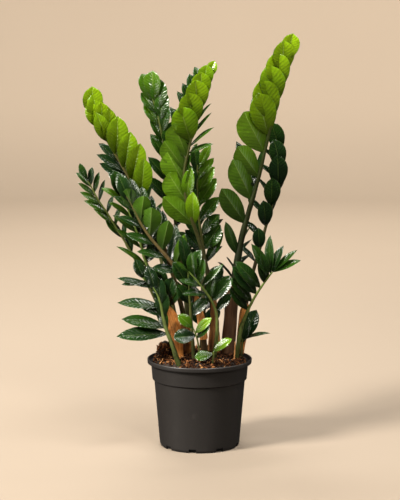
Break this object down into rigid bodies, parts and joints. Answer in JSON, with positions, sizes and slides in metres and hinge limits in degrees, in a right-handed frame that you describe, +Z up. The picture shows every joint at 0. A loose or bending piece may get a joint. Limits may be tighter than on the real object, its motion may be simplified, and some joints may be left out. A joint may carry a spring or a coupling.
{
  "type": "potted zz plant",
  "caption": "Upright house plant with glossy leaflets in ranks along thick fronds, standing in bark soil in a round tapered nursery pot.",
  "frame": {"origin": "centre of the pot's flat bottom, on the surface that it stands on", "axes": "+Z up along the pot's axis, -Y towards the front of the plant as pictured, +X to its right"},
  "size_m": [0.3533, 0.232, 0.6654],
  "materials": {
    "pot_plastic": "satin, moulded",
    "rhizome": "dull, fleshy",
    "sheath": "dry, papery",
    "soil": "rough bark chips",
    "leaf_dark": "waxy gloss, living leaf",
    "leaf_green": "waxy gloss, living leaf",
    "leaf_bright": "waxy gloss, living leaf",
    "leaf_pale": "waxy gloss, living leaf"
  },
  "bodies": {
    "root": {"pot": "pot_plastic", "rhizome": "rhizome", "sheath_left": "sheath", "sheath_right_thick": "sheath", "sheath_centre": "sheath", "sheath_centre_tan": "sheath", "sheath_tan": "sheath", "sheath_low_left": "sheath", "sheath_right_small": "sheath", "soil": "soil", "frond_right_tall": "leaf_green", "frond_right_dark": "leaf_dark", "frond_right_low": "leaf_dark", "frond_centre_tall": "leaf_bright", "frond_centre_back": "leaf_green", "frond_left_bright": "leaf_bright", "frond_left_tan": "leaf_green", "frond_left_pale": "leaf_pale", "frond_left_outer": "leaf_pale", "frond_low_left": "leaf_dark", "frond_front_arc": "leaf_dark", "frond_baby_front": "leaf_green", "frond_centre_right": "leaf_dark", "frond_right_back_low": "leaf_dark", "frond_centre_low": "leaf_dark", "frond_baby_edge": "leaf_bright", "frond_back_left": "leaf_dark", "frond_back_centre": "leaf_green", "frond_back_right": "leaf_dark"}
  },
  "joints": []
}
